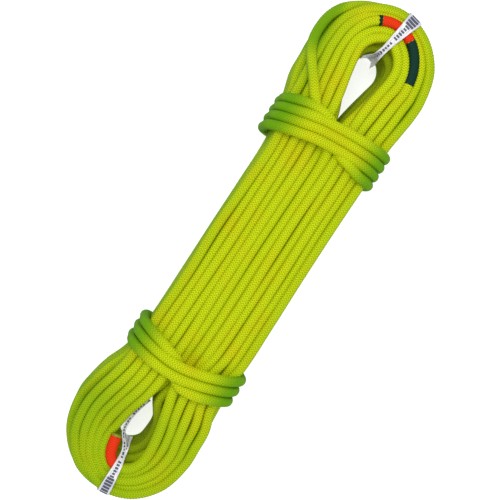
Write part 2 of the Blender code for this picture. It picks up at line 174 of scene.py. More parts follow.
WRAP_TOP = BUNDLE_TOP + ROPE_RADIUS  # the height of a wrap's centre over the bundle
ACROSS_SHARES = (0.28, 0.39, 0.5, 0.61, 0.72)  # control points of a wrap's run over the bundle

# --- stretches off the bundle, in millimetres: (x, y, height of the centre over the bundle's top there) ---
IN_TOP_LEVEL = -5.6
PROUD = -2.8
SLOT = -7.4
# The inner end, tucked under the bottom wrap, and where it joins the first turn.
TUCKED_END = metres((
    (8.5, -139.5, -4), (4.5, -134, -2.4), (0, -128, -0.6), (-6, -123.6, 2.2), (-14, -121.2, 4.5),
    (-24, -118, 5)))
# From the bottom wrap's last turn, up the waist in the left slot, to the top wrap's first turn.
UP_THE_WAIST = metres((
    (45, -138.5, 5), (34, -142.2, 5), (23, -144.5, 5), (14, -145, 4), (7.2, -142.8, 0.8), (3.2, -138.5, -4),
    (1.4, -131, -8.8), (0.8, -118, -10.8), (0.8, -100, -8.2), (1.2, -80, SLOT), (0.6, -40, SLOT),
    (0, 0, SLOT), (0.4, 50, SLOT), (0.8, 90, SLOT), (1, 108, -9.5), (1.4, 123, -8.5), (1.2, 133.5, -5.5),
    (-3, 140.2, -0.6), (-11, 142.8, 4), (-22, 143.2, 5), (-30, 142.8, 5)))
# From the top wrap's last turn, tucked under it in the right slot, to the first lap in the eye.
INTO_THE_EYE = metres((
    (45, 112, 5), (38, 114, 5), (30, 116.2, 4.6), (21.5, 118.5, 2.4), (15, 122, -1.8), (11.2, 129, -5.2),
    (10, 138, -7), (11, 150, -9.2), (15, 165, -12.5), (18.5, 185, -15.5), (20.5, 206, -16.8)))
# The loose lap: it bulges out at the left of the top loop and crosses inwards over its neighbours.
LOOSE_LAP = metres((
    (-30, 257.5, -14.6), (-44, 248, -10.8), (-54, 237.5, -7.4), (-59.8, 225, -6.4), (-61.5, 212, -5.2),
    (-61, 200, -2.2), (-57.5, 188, 1.8), (-50, 176, 4.6), (-40, 163, 5.2), (-31, 152, 3.6), (-20, 141, 0.2),
    (-8, 132, -0.6), (2, 124, -1.2), (8.4, 115, -4), (10.4, 105, -6.6), (10.8, 93, SLOT), (10.8, 78, SLOT)))
# Then it runs down the right slot, under the bottom wrap, and round the bottom eye to the outer end.
OUTER_END = metres((
    (10.6, 40, SLOT), (10.3, 0, SLOT), (10.6, -45, SLOT), (10.8, -85, SLOT), (10.6, -105, -8.6),
    (10, -120, -11.2), (9.2, -136, -9.8), (10, -151, -6.6), (14.2, -167, IN_TOP_LEVEL),
    (19, -185, IN_TOP_LEVEL), (22.5, -202, -5), (24, -217, -4.2), (22.5, -228.5, -3.4), (17, -237.5, PROUD),
    (9.2, -241.8, PROUD), (1, -241.6, PROUD), (-5.5, -237, PROUD), (-9.5, -228, PROUD),
    (-11.9, -216, PROUD)))

# --- the tapes, each a strip of film round one loop, followed from under the bundle outwards ---
# Each row is (distance outwards from the tape's middle, height, half width, sideways shift), in millimetres.
TOP_TAPE_MIDDLE = (0.0062, 0.2474)
TOP_TAPE_TURN = math.radians(12)
TOP_TAPE = metres((
    (-8, 0.6, 6.5, 0), (10, 0.8, 6.5, 0), (18, 2.1, 6.6, 0), (22.3, 4.1, 6.7, 0), (23.9, 8.5, 6.8, 0),
    (24.2, 18, 7, 0), (24.2, 35, 7.3, 0), (24.1, 49, 7.5, 0), (23, 57.2, 7.6, 0), (20.9, 60.5, 7.5, 0),
    (17, 61.4, 7.2, 0), (9, 61.4, 6, -0.2), (0, 61.2, 5, -0.4), (-8.5, 61, 4.1, -0.6),
    (-14.8, 60.2, 3.6, -0.6), (-20, 56.5, 3.3, -0.6), (-24, 52.4, 4.2, -1.2), (-26, 46.5, 6.4, -2.2),
    (-26.4, 37, 7.1, -2.6), (-26, 26, 7.1, -2.4), (-25.2, 13, 6.8, -1.6), (-22, 3, 6.6, -0.8),
    (-16, 0.6, 6.5, 0), (-7, 0.6, 6.5, 0)))
TOP_TAPE_RIPPLE = 0.0013
TOP_TAPE_CUP = 0.0062           # how far its edges curl off the eye's wall, which is round
BOTTOM_TAPE_MIDDLE = (0.0053, -0.248)
BOTTOM_TAPE_TURN = math.radians(180 - 4.7)
BOTTOM_TAPE = metres((
    (-2, 0.6, 5.5, 0), (10, 0.7, 5.5, 0), (18, 2, 5.6, 0), (22.1, 4, 5.7, 0), (23.8, 8, 5.8, 0),
    (24.1, 20, 5.8, 0), (24.2, 38, 5.8, 0), (24.1, 50, 5.8, 0), (23.2, 57.6, 5.8, 0), (21.2, 60.7, 5.8, 0),
    (15, 61.9, 5.6, 0), (8, 62.5, 5.2, 0), (1, 63.3, 4.7, 0), (-5, 63.7, 4.2, 0), (-9.5, 62.7, 3.8, 0),
    (-13.5, 59, 3.4, 0), (-18, 54.5, 3, 0), (-22.8, 52, 2.7, 0.2), (-25.4, 46, 2.6, 0.4),
    (-25.8, 36, 2.8, 0.4), (-25.8, 22, 3.6, 0), (-25, 10, 4.5, 0), (-21.8, 1.8, 5.2, 0), (-12, 0.6, 5.5, 0),
    (-1, 0.6, 5.5, 0)))
BOTTOM_TAPE_RIPPLE = 0.0005
BOTTOM_TAPE_CUP = 0.0012
# The bottom tape's free tail, along the eye's left wall: (x, y, z, half width, lean in degrees), in metres.
TAPE_TAIL = ((0.0036, -0.23, 0.0552, 0.0024, 10), (0.0018, -0.2255, 0.053, 0.0024, 30),
             (-0.0014, -0.2205, 0.0522, 0.0026, 55), (-0.0052, -0.216, 0.052, 0.0028, 60),
             (-0.0084, -0.21, 0.0512, 0.003, 55), (-0.0092, -0.201, 0.05, 0.0032, 50),
             (-0.008, -0.1915, 0.049, 0.0032, 48), (-0.0056, -0.1825, 0.0482, 0.003, 50),
             (-0.0024, -0.174, 0.0476, 0.0024, 52))
TAIL_RIPPLE = 0.0004
FILM = 0.00018
FILM_UV = "film"                # across from -1 to 1, and along in millimetres
DASH_PITCH = 3.1                # in the UV map's millimetres, as the next two are
BOLD_AT = 90.0                  # where the dashes are largest and the film has painted shade, at the tapes' outer bend
BOLD_HALF = 9.0
DASH_SHARE = 0.66               # of each pitch
BOLD_DASH_MORE = 0.16
TAPE_ACROSS = 12
TAPE_STEP = 0.0008
FOLDS = ((90, 5.0, 0.5), (210, 9.0, 0.3), (430, 14.0, 0.2))  # per metre along, across it, and share
FOLD_SWAY = 1.6
# Where a band is gathered (by its half width), where it hangs in the eye (by its distance outwards), and
# where it is clear of the floor (by its height).
GATHERED = (0.0035, 0.0052)
IN_EYE = (-0.024, -0.019)
OFF_FLOOR = (0.002, 0.01)
FLAT_RIPPLE = 0.18              # shares of the ripple in the eye
GATHERED_RIPPLE = 0.5

# --- the braid ---
BRAID_PITCH = 0.0026            # from one rib of the braid to the next, along the rope
RING_STEP = BRAID_PITCH / 2     # a ring of points on each rib's crest and in each groove
AROUND = 16
BRAID_SLANT = 0.0019            # how far a rib runs along the rope in one step round it
BRAID_DEPTH = 0.00024
SLEEVE_BRAID_DEPTH = 0.6 * BRAID_DEPTH
BRAID_UV = "braid"
HIDDEN_STEP = 0.0065            # between rings inside the bundle, where the braid isn't seen
SEEN_FROM = 0.02                # the share of a seen lap from which a stretch has its braid
BRAID_WHOLE = 0.3               # and the share at which the braid is at its full depth
FINE_STEP = 0.001
PACKED = (0.93, 0.96)           # a packed lap's section, across and up, as shares of the rope's
PACKED_ON_TOP = (0.945, 0.97)   # a lap of the top level has more room
ROUND = (1.0, 1.0)
SQUARED = 0.1                   # how far a packed lap's section is squared, as a share of its radius
JITTER = 0.00045
STRAY = 0.0007                  # how far the top level's laps wander sideways in the waist
SEED = 7

# --- where the rope's colour changes, mostly painted shade: each pair is where a change begins and where it is complete ---
HANK_MIDDLE = 0.006
WRAP_BEGINS = (0.095, 0.102)    # a wrap's stretch of the rope, outwards from the waist's middle
WRAP_ENDS = (0.146, 0.152)
WRAP_GREEN_FROM = (0.019, 0.024)  # off HANK_MIDDLE, on its right and on its left
WRAP_GREEN_BLEND = 0.032
EDGE_GREEN = (0.034, 0.054)     # off HANK_MIDDLE
SIDE_SHADE = (0.044, 0.052)
RIGHT_OF_EYE = (0.0, 0.045)     # along x, where the bottom loop is less green
BOTTOM_LOOP_GREEN = (0.14, 0.2)
BULGE_X = (0.042, 0.058)        # the loose lap's bulge, leftwards and along the hank
BULGE_Y = (0.165, 0.2)
WALLS_BELOW = (-0.055, -0.035)  # downwards, so heights have a minus sign
EYE_BELOW = (-0.059, -0.052)
# Where the dye looks warmer, beside the wraps: (x, y, radius).
GOLDEN_SPOTS = ((-0.014, 0.096, 0.016), (0.01, -0.121, 0.01), (-0.04, -0.1, 0.012),
                (-0.034, 0.01, 0.013), (0.036, -0.09, 0.01), (-0.022, 0.176, 0.014))
EYE_MIDDLE = (0.002, 0.192)
EYE_HALF = (0.021, 0.046)
EYE_OUTWARDS = (0.8, 1.3)       # shares of the way out to its edge, squared
LOOP_RIM = (0.0625, 0.2065, 0.0645)  # half width, centre and reach of the loops' outer edge
RIM_INWARDS = (0.83, 0.94)      # shares of the way out to it
RIM_BEGINS = (LOOP_RIM[1], 0.226)
PAINTED_GLOW = 0.1                      # painted glow: emission that lightens the rope's shade; the fluorescent dye really gives back some light in the creases too

WHITE = (1.0, 1.0, 1.0, 1.0)
FLOOR_HALF = 40.0
FLOOR_GAP = 0.0005              # under the hank's lowest rope


# --- the rope's path ---
def droop(y):
    share = min(max((abs(y) - DROOP_START) / (DROOP_END - DROOP_START), 0.0), 1.0)
    return DROOP * share * share * (3 - 2 * share)


def off_bundle(rows):
    """Control points of a stretch off the bundle, from its table."""
    return [(x, y, BUNDLE_TOP - droop(y) + over) for x, y, over in rows]


def loop_point(edge, degrees, sign):
    """A point of a loop's edge, at an angle from its right. sign is 1 at the top, -1 at the bottom."""
    x, y, right, left, reach = edge
    angle = math.radians(degrees)
    half = right if math.cos(angle) > 0 else left
    return x + half * math.cos(angle), y + sign * reach * math.sin(angle)


class Station:
    """Where the laps pass at one place round a lap: edges in plan, the top level's places, and the side."""

    def __init__(self, edge, side, places=WHOLE_PLACES, moved=0.0, low_inner=None):
        self.inner, self.outer = edge[:2], edge[2:]
        self.low_inner = low_inner or self.inner
        self.side, self.places, self.moved = side, places, moved


def lap_stations():
    """The stations round one lap, starting at the waist's lower right."""
    found = [Station((WAIST_MIDDLE, y, WAIST_RIGHT, y), "right") for y in WAIST_YS]
    found += [Station(edge, "right", places) for edge, places in zip(TOP_RIGHT_SHOULDER, TOP_PLACES_RIGHT)]
    for angle, places in zip(LOOP_ANGLES, TOP_PLACES_LOOP):
        edge = loop_point(TOP_INNER, angle, 1) + loop_point(TOP_OUTER, angle, 1)
        found.append(Station(edge, "left" if angle > 120 else "right", places))
    found += [Station(edge, "left", places) for edge, places in zip(TOP_LEFT_SHOULDER, TOP_PLACES_LEFT)]
    found += [Station((WAIST_MIDDLE, y, WAIST_LEFT, y), "left") for y in reversed(WAIST_YS)]
    for edge, places in zip(BOTTOM_LEFT_SHOULDER, BOTTOM_PLACES_LEFT):
        found.append(Station(edge, "left", places))
    for angle, places in zip(reversed(LOOP_ANGLES), BOTTOM_PLACES_LOOP):
        edge = loop_point(BOTTOM_INNER, angle, -1) + loop_point(BOTTOM_OUTER, angle, -1)
        low = loop_point(BOTTOM_INNER_LOW, angle, -1)
        found.append(Station(edge, "left" if angle > 90 else "right", places, low_inner=low))
    for edge, places, moved, low in zip(BOTTOM_RIGHT_SHOULDER, BOTTOM_PLACES_RIGHT, MOVES_OVER,
                                        BOTTOM_RIGHT_LOW):
        found.append(Station(edge, "right", places, moved, low))
    return found


STATIONS = lap_stations()
TOP_LOOP_START = len(WAIST_YS) + len(TOP_RIGHT_SHOULDER)
TOP_APEX = TOP_LOOP_START + LOOP_ANGLES.index(90)
BOTTOM_LOOP_START = len(STATIONS) - len(BOTTOM_RIGHT_SHOULDER) - len(LOOP_ANGLES)


def cell_place(cell, station):
    """(column place, level) of a lap's cell at a station."""
    column, level = cell
    if level == TOP_LEVEL:
        return station.places[column - 1], float(TOP_LEVEL)
    if column == 0:
        return 0.0, INNER_LEVELS[level]
    if column == COLUMNS - 1 and station.side == "left":
        return float(column), OUTER_LEFT_LEVELS[level]
    return float(column), float(level)


def bundle_point(station, place, level):
    share = (place + 0.5) / COLUMNS
    low = min(max(TOP_LEVEL - level, 0.0), 1.0)
    inner_x = station.inner[0] + low * (station.low_inner[0] - station.inner[0])
    inner_y = station.inner[1] + low * (station.low_inner[1] - station.inner[1])
    x = inner_x + share * (station.outer[0] - inner_x)
    y = inner_y + share * (station.outer[1] - inner_y)
    stagger = COLUMN_STAGGER * (0.5 - 0.5 * math.cos(math.pi * place))
    return x, y, FIRST_LEVEL_Z + level * LEVEL_PITCH + stagger - droop(y)


def lap_points(number, first, last, rng):
    """Control points of one lap between two stations."""
    cell = CELLS[number]
    following = CELLS[min(number + 1, len(CELLS) - 1)]
    points = []
    for i in range(first, last):
        station = STATIONS[i]
        place, level = cell_place(cell, station)
        moved = station.moved
        in_bottom_loop = i - BOTTOM_LOOP_START
        if number == DROPPING_LAP and in_bottom_loop >= 0:
            moved = DROPS_EARLY[min(in_bottom_loop, len(DROPS_EARLY) - 1)]
        next_place, next_level = cell_place(following, station)
        place += moved * (next_place - place)
        level += moved * (next_level - level)
        x, y, z = bundle_point(station, place, level)
        dx, dy, dz = rng.uniform(-JITTER, JITTER, 3)
        if cell[1] == TOP_LEVEL and station.places == WHOLE_PLACES:
            dx *= 1 + STRAY / JITTER
        points.append((x + dx, y + dy, z + dz))
    return points


def corner_point(side_x, heading, flat, turn, degrees):
    """(x, z) on a wrap's rounded corner, from 0 degrees at the bundle's side to 90 at its top or foot."""
    angle = math.radians(degrees)
    return (side_x + heading * WRAP_CORNER * (1 - math.cos(angle)),
            flat - turn * WRAP_CORNER * (1 - math.sin(angle)))


def wrap_half(over, start, end, middle_y=None, hump_x=None):
    """Half a turn, from one side of the bundle to the other, over its top or under it."""
    (start_x, start_y), (end_x, end_y) = start, end
    flat = WRAP_TOP if over else ROPE_RADIUS
    turn = 1 if over else -1
    heading = 1 if end_x > start_x else -1
    section = [(start_x, (ROPE_RADIUS + WRAP_TOP) / 2), (start_x, flat - turn * WRAP_CORNER)]
    corner = (*CORNER_DEGREES, 90)
    section += [corner_point(start_x, heading, flat, turn, degrees) for degrees in corner]
    section += [(start_x + (end_x - start_x) * share, flat) for share in ACROSS_SHARES]
    section += [corner_point(end_x, -heading, flat, turn, degrees) for degrees in reversed(corner)]
    section.append((end_x, flat - turn * WRAP_CORNER))
    bow = 0.0 if middle_y is None else middle_y - (start_y + end_y) / 2
    points = []
    for x, z in section:
        share = (x - start_x) / (end_x - start_x)
        y = start_y + share * (end_y - start_y) + bow * 4 * share * (1 - share)
        rise = 0.0 if hump_x is None else HUMP * math.exp(-((x - hump_x) / HUMP_WIDTH) ** 2)
        points.append((x, y, z + rise))
    return points


def wrap_points(left_x, left_ys, right_ys, middle_ys, humps):
    """Every whole turn of one wrap, from its first crossing of the left side."""
    points = []
    for i, left_y in enumerate(left_ys):
        right = (WRAP_RIGHT_X, right_ys[i])
        points += wrap_half(False, (left_x, left_y), right)
        if i < len(middle_ys):
            points += wrap_half(True, right, (left_x, left_ys[i + 1]), middle_ys[i], humps[i])
    x, y = WRAP_RIGHT_X, right_ys[-1]
    return points + [(x, y, WRAP_TOP / 2), (x, y, WRAP_TOP - WRAP_CORNER)]


def over_left_corner(left_x, y, slope):
    """From the top, down over the left corner. slope is the run's change of y with x on the top."""
    points = []
    for degrees in reversed((0, *CORNER_DEGREES, 90)):
        x, z = corner_point(left_x, 1, WRAP_TOP, 1, degrees)
        points.append((x, y + slope * (x - left_x), z))
    return points


def over_right_corner(y, slope):
    """Up over the right corner. slope is how far the run on the top moves in y for each step inwards."""
    points = []
    for degrees in CORNER_DEGREES:
        x, z = corner_point(WRAP_RIGHT_X, -1, WRAP_TOP, 1, degrees)
        points.append((x, y + slope * (WRAP_RIGHT_X - x), z))
    return points


class Route:
    """Control points of the whole rope, with each stretch's section and whether its braid is seen."""

    def __init__(self):
        self.points, self.sections, self.seen, self.marked_lap = [], [], [], None

    def add(self, points, section, seen):
        self.points += [tuple(p) for p in points]
        self.sections += [section] * len(points)
        self.seen += [seen] * len(points)


def lap_is_seen(number):
    column, level = CELLS[number]
    return level in (0, TOP_LEVEL) or column in (0, COLUMNS - 1)


def rope_route():
    rng = np.random.default_rng(SEED)
    route = Route()
    bottom_turns = wrap_points(BOTTOM_LEFT_X, BOTTOM_LEFT_YS, BOTTOM_RIGHT_YS, BOTTOM_MIDDLE_YS,
                               BOTTOM_HUMPS)
    top_turns = wrap_points(TOP_LEFT_X, TOP_LEFT_YS, TOP_RIGHT_YS, TOP_MIDDLE_YS, TOP_HUMPS)
    for points in (off_bundle(TUCKED_END),
                   over_left_corner(BOTTOM_LEFT_X, BOTTOM_LEFT_YS[0], BOTTOM_FIRST_SLOPE), bottom_turns,
                   over_right_corner(BOTTOM_RIGHT_YS[-1], BOTTOM_LAST_SLOPE), off_bundle(UP_THE_WAIST),
                   over_left_corner(TOP_LEFT_X, TOP_LEFT_YS[0], TOP_FIRST_SLOPE), top_turns,
                   over_right_corner(TOP_RIGHT_YS[-1], TOP_LAST_SLOPE), off_bundle(INTO_THE_EYE)):
        route.add(points, ROUND, True)
    for number in range(len(CELLS)):
        first = TOP_LOOP_START + 1 if number == 0 else 0
        last = TOP_APEX + 1 if number == len(CELLS) - 1 else len(STATIONS)
        section = PACKED_ON_TOP if CELLS[number][1] == TOP_LEVEL else PACKED
        start = len(route.points)
        route.add(lap_points(number, first, last, rng), section, lap_is_seen(number))
        if number == MARKED_LAP:
            route.marked_lap = (start, len(route.points) - 1)
    route.add(off_bundle(LOOSE_LAP + OUTER_END), ROUND, True)
    return route


def smooth_line(route):
    """Points about FINE_STEP apart on a smooth curve through the control points, and their places on it."""
    ways = np.array(route.points)
    ends = np.vstack([2 * ways[0] - ways[1], ways, 2 * ways[-1] - ways[-2]])
    pieces, places = [], []
    for i in range(len(ways) - 1):
        a, b, c, d = ends[i:i + 4]
        count = max(4, int(np.linalg.norm(c - b) / FINE_STEP))
        t = (np.arange(count) / count)[:, None]
        # Centripetal spacing keeps the curve from looping where control points lie unevenly.
        k = [np.linalg.norm(q - p) ** 0.5 for p, q in ((a, b), (b, c), (c, d))]
        tangent_b = (b - a) / k[0] - (c - a) / (k[0] + k[1]) + (c - b) / k[1]
        tangent_c = (c - b) / k[1] - (d - b) / (k[1] + k[2]) + (d - c) / k[2]
        tangent_b, tangent_c = tangent_b * k[1], tangent_c * k[1]
        pieces.append((2 * t ** 3 - 3 * t ** 2 + 1) * b + (t ** 3 - 2 * t ** 2 + t) * tangent_b
                      + (3 * t ** 2 - 2 * t ** 3) * c + (t ** 3 - t ** 2) * tangent_c)
        places.append(i + t[:, 0])
    line = np.vstack(pieces + [ways[-1:]])
    place = np.concatenate(places + [[len(ways) - 1.0]])
    return line, place


def unit(vectors):
    return vectors / np.maximum(np.linalg.norm(vectors, axis=1, keepdims=True), 1e-12)


def carried_frame(tangents):
    """A direction across the rope at each point, carried along it without twist."""
    across = np.zeros_like(tangents)
    start = np.cross(tangents[0], (0.0, 0.0, 1.0))
    across[0] = start / np.linalg.norm(start)
    for i in range(1, len(tangents)):
        now = across[i - 1] - tangents[i] * (across[i - 1] @ tangents[i])
        across[i] = now / math.sqrt(now @ now)
    return across


class Line:
    """The rope's centreline, with all that a ring of its surface needs at each distance along."""

    def __init__(self, route):
        line, place = smooth_line(route)
        steps = np.linalg.norm(np.diff(line, axis=0), axis=1)
        self.along = np.concatenate([[0.0], np.cumsum(steps)])
        self.length = float(self.along[-1])
        self.points = line
        self.tangents = unit(np.gradient(line, self.along, axis=0))
        self.across = carried_frame(self.tangents)
        controls = np.arange(len(route.points))
        sections = np.array(route.sections)
        self.wide = np.interp(place, controls, sections[:, 0])
        self.tall = np.interp(place, controls, sections[:, 1])
        self.seen = np.interp(place, controls, np.array(route.seen, float))
        self.place = place

    def at(self, values, distance):
        if values.ndim == 1:
            return np.interp(distance, self.along, values)
        return np.stack([np.interp(distance, self.along, values[:, k]) for k in range(3)], axis=-1)

    def distance_of(self, control):
        return float(np.interp(control, self.place, self.along))

    def nearest(self, point, low, high):
        """The distance along, between two limits, where the rope passes nearest to a point in plan."""
        inside = (self.along >= low) & (self.along <= high)
        gaps = np.linalg.norm(self.points[inside][:, :2] - np.array(point), axis=1)
        return float(self.along[inside][gaps.argmin()])


def ring_distances(line):
    """Where the rings lie along the rope: on every rib and groove where it is seen, and few inside."""
    found, distance = [], 0.0
    while distance < line.length:
        found.append(distance)
        seen = float(np.interp(distance, line.along, line.seen))
        distance += RING_STEP if seen > SEEN_FROM else HIDDEN_STEP
    return np.array(found)


def squeezed(reach, out, tangent, wide, tall):
    """A packed lap's section: squared at its corners, and less wide and tall than round rope."""
    flat = np.cross(tangent, np.array([0.0, 0.0, 1.0]))
    flat /= np.maximum(np.linalg.norm(flat, axis=-1, keepdims=True), 1e-6)
    up = np.cross(flat, tangent)
    packed = np.clip((1 - wide) / (1 - PACKED_ON_TOP[0]), 0.0, 1.0)
    corner = 4 * ((out * flat).sum(-1) * (out * up).sum(-1)) ** 2
    reach = reach * (1 + SQUARED * packed * corner)[..., None]
    return (reach + (wide - 1)[..., None] * flat * (reach * flat).sum(-1, keepdims=True)
            + (tall - 1)[..., None] * up * (reach * up).sum(-1, keepdims=True))


def surface(line, rings, radius, depth, braided):
    """Points on the rope's surface, one row of AROUND for each ring. Odd rings are the braid's crests."""
    j = np.arange(AROUND)
    braid = braided[:, None]
    distance = rings[:, None] + BRAID_SLANT * (j % 2)[None, :] * braid
    distance = np.clip(distance, 0.0, line.length)
    angle = np.broadcast_to((2 * np.pi * j / AROUND)[None, :], distance.shape)
    tangent = line.at(line.tangents, distance)
    tangent /= np.linalg.norm(tangent, axis=-1, keepdims=True)
    across = line.at(line.across, distance)
    across -= tangent * (across * tangent).sum(-1, keepdims=True)
    across /= np.linalg.norm(across, axis=-1, keepdims=True)
    beside = np.cross(tangent, across)
    out = across * np.cos(angle)[..., None] + beside * np.sin(angle)[..., None]
    crest = np.where(np.arange(len(rings)) % 2 == 1, 1.0, -1.0)[:, None] * braid
    reach = (radius + depth * crest)[..., None] * out
    reach = squeezed(reach, out, tangent, line.at(line.wide, distance), line.at(line.tall, distance))
    return line.at(line.points, distance) + reach, distance, out


def tube_mesh(name, points, distance):
    """A closed tube through rows of points, with a UV map of ribs along by steps round."""
    rows, around = points.shape[:2]
    verts = points.reshape(-1, 3)
    i = np.arange(rows - 1)[:, None] * around
    j = np.arange(around)[None, :]
    following = (j + 1) % around
    quads = np.stack([i + j, i + following, i + following + around, i + j + around], axis=-1).reshape(-1, 4)
    caps = [np.arange(around - 1, -1, -1), np.arange((rows - 1) * around, rows * around)]
    mesh = bpy.data.meshes.new(name)
    loops = quads.size + sum(len(c) for c in caps)
    mesh.vertices.add(len(verts))
    mesh.vertices.foreach_set("co", verts.astype(np.float32).ravel())
    mesh.loops.add(loops)
    corners = np.concatenate([quads.ravel()] + caps).astype(np.int32)
    mesh.loops.foreach_set("vertex_index", corners)
    mesh.polygons.add(len(quads) + len(caps))
    starts = np.concatenate([np.arange(len(quads)) * 4,
                             len(quads) * 4 + np.arange(len(caps)) * around]).astype(np.int32)
    mesh.polygons.foreach_set("loop_start", starts)
    mesh.update(calc_edges=True)
    mesh.polygons.foreach_set("use_smooth", np.ones(len(quads) + len(caps), bool))
    uv = mesh.uv_layers.new(name=BRAID_UV)
    ribs = distance / BRAID_PITCH
    next_ribs = np.roll(ribs, -1, axis=1)
    u = np.stack([ribs[:-1], next_ribs[:-1], next_ribs[1:], ribs[1:]], axis=-1)
    v = np.stack([j, j + 1, j + 1, j], axis=-1) * np.ones((rows - 1, 1, 1))
    flat_uv = np.zeros((loops, 2), np.float32)
    flat_uv[:quads.size, 0] = u.reshape(-1)
    flat_uv[:quads.size, 1] = v.reshape(-1)
    uv.data.foreach_set("uv", flat_uv.ravel())
    mesh.validate()
    return mesh


def add_value(mesh, name, values):
    layer = mesh.attributes.new(name, "FLOAT", "POINT")
    layer.data.foreach_set("value", np.asarray(values, np.float32).ravel())


def new_object(name, mesh, *materials):
    made = bpy.data.objects.new(name, mesh)
    bpy.context.scene.collection.objects.link(made)
    for one in materials:
        made.data.materials.append(one)
    return made


# --- materials ---
SHADER_SOCKETS = {"colour": "Base Color", "roughness": "Roughness", "specular": "Specular IOR Level",
                  "normal": "Normal", "glow_colour": "Emission Color", "glow": "Emission Strength"}


class Nodes:
    """A new material's node tree, with short ways to add and link nodes."""

    def __init__(self, name):
        self.material = bpy.data.materials.new(name)
        self.material.use_nodes = True
        self.tree = self.material.node_tree
        self.shader = self.tree.nodes["Principled BSDF"]

    def add(self, kind, **values):
        node = self.tree.nodes.new(kind)
        for key, value in values.items():
            setattr(node, key, value)
        return node

    def feed(self, socket, value):
        if isinstance(value, bpy.types.NodeSocket):
            self.tree.links.new(value, socket)
        else:
            socket.default_value = value

    def shade(self, **values):
        """Feed the shader's sockets, by their names in SHADER_SOCKETS."""
        for name, value in values.items():
            self.feed(self.shader.inputs[SHADER_SOCKETS[name]], value)

    def place(self):
        return self.add("ShaderNodeTexCoord").outputs["Object"]

    def split_uv(self, name):
        """A UV map's whole vector and its two coordinates."""
        uv = self.add("ShaderNodeUVMap", uv_map=name).outputs["UV"]
        split = self.add("ShaderNodeSeparateXYZ")
        self.feed(split.inputs[0], uv)
        return uv, split.outputs["X"], split.outputs["Y"]

    def math(self, operation, a, b=0.0, c=0.0):
        node = self.add("ShaderNodeMath", operation=operation)
        for socket, value in zip(node.inputs, (a, b, c)):
            self.feed(socket, value)
        return node.outputs[0]

    def mix(self, share, a, b):
        node = self.add("ShaderNodeMix", data_type="RGBA")
        self.feed(node.inputs["Factor"], share)
        for socket, value in ((node.inputs["A"], a), (node.inputs["B"], b)):
            self.feed(socket, value if isinstance(value, bpy.types.NodeSocket) else (*value, 1.0))
        return node.outputs["Result"]

    def noise(self, vector, scale, detail=2.0):
        node = self.add("ShaderNodeTexNoise")
        for socket, value in (("Vector", vector), ("Scale", scale), ("Detail", detail)):
            self.feed(node.inputs[socket], value)
        return node.outputs["Fac"]

    def bump(self, height, strength, distance):
        node = self.add("ShaderNodeBump")
        for socket, value in (("Strength", strength), ("Distance", distance), ("Height", height)):
            self.feed(node.inputs[socket], value)
        self.shade(normal=node.outputs["Normal"])

    def attribute(self, name):
        return self.add("ShaderNodeAttribute", attribute_name=name).outputs["Fac"]


def braid_height(nodes):
    """Heights of the braid's ribs, of the yarns in them, and of its columns round the rope, from 0 to 1."""
    _, ribs, steps = nodes.split_uv(BRAID_UV)
    zigzag = nodes.math("PINGPONG", steps, 1.0)
    shifted = nodes.math("MULTIPLY_ADD", zigzag, -BRAID_SLANT / BRAID_PITCH, ribs)
    wave = nodes.math("COSINE", nodes.math("MULTIPLY_ADD", shifted, 2 * math.pi, math.pi))
    rib = nodes.math("MULTIPLY_ADD", wave, 0.5, 0.5)
    fine = nodes.math("COSINE", nodes.math("MULTIPLY", shifted, 6 * math.pi))
    yarn = nodes.math("MULTIPLY_ADD", fine, 0.5, 0.5)
    seam = nodes.math("PINGPONG", steps, 0.5)
    column = nodes.math("SMOOTH_MIN", nodes.math("MULTIPLY", seam, 5.0), 1.0, 0.3)
    return rib, yarn, column


def with_braid_shade(nodes, rib, column, colour, braid_shade, rib_share, column_share):
    """A colour with painted shade: it turns to a darker one between the braid's ribs and between its
    columns.
    """
    dark = nodes.math("MULTIPLY", nodes.math("SUBTRACT", 1.0, rib), rib_share)
    dark = nodes.math("MULTIPLY_ADD", nodes.math("SUBTRACT", 1.0, column), column_share, dark)
    return nodes.mix(dark, colour, braid_shade)


def rope_material():
    nodes = Nodes("rope_green_braid")
    rib, yarn, column = braid_height(nodes)
    place = nodes.place()
    patches = nodes.noise(place, scale=34.0, detail=3.0)
    specks = nodes.noise(place, scale=900.0)
    bright = (0.56, 0.69, 0.002)
    golden = (0.68, 0.56, 0.001)
    groove = (0.33, 0.33, 0.001)
    green_tint_and_shade = (0.075, 0.32, 0.0005)
    shaded = (0.055, 0.15, 0.004)
    braid_shade = (0.17, 0.21, 0.0)
    eye_shade_colour = (0.15, 0.23, 0.001)
    patchy = nodes.math("MULTIPLY", nodes.math("SUBTRACT", patches, 0.47), 2.0)
    colour = nodes.mix(nodes.math("MAXIMUM", patchy, nodes.attribute("golden")), bright, golden)
    # painted shade: a darker olive on the steep sides of packed laps, in the creases between them
    colour = nodes.mix(nodes.attribute("crease_shade"), colour, groove)
    # painted shade in green, where the rope turns from the light; also greener over the bottom loop
    colour = nodes.mix(nodes.attribute("green_tint_and_shade"), colour, green_tint_and_shade)
    # painted shade on the hank's outer sides
    colour = nodes.mix(nodes.attribute("side"), colour, shaded)
    # painted shade deep in the eye
    colour = nodes.mix(nodes.math("MULTIPLY", nodes.attribute("shade"), 0.75), colour, eye_shade_colour)
    # painted shade between the braid's ribs and between its columns
    colour = with_braid_shade(nodes, rib, column, colour, braid_shade, rib_share=0.62, column_share=0.22)
    height = nodes.math("MULTIPLY_ADD", yarn, 0.25, rib)
    height = nodes.math("MULTIPLY_ADD", column, 0.5, height)
    height = nodes.math("MULTIPLY_ADD", specks, 0.35, height)
    nodes.bump(height, strength=0.75, distance=0.00035)
    # a faint painted glow in the rope's own colour
    nodes.shade(colour=colour, glow_colour=colour, glow=PAINTED_GLOW, specular=0.12,
                roughness=nodes.math("MULTIPLY_ADD", specks, 0.25, 0.6))
    return nodes.material


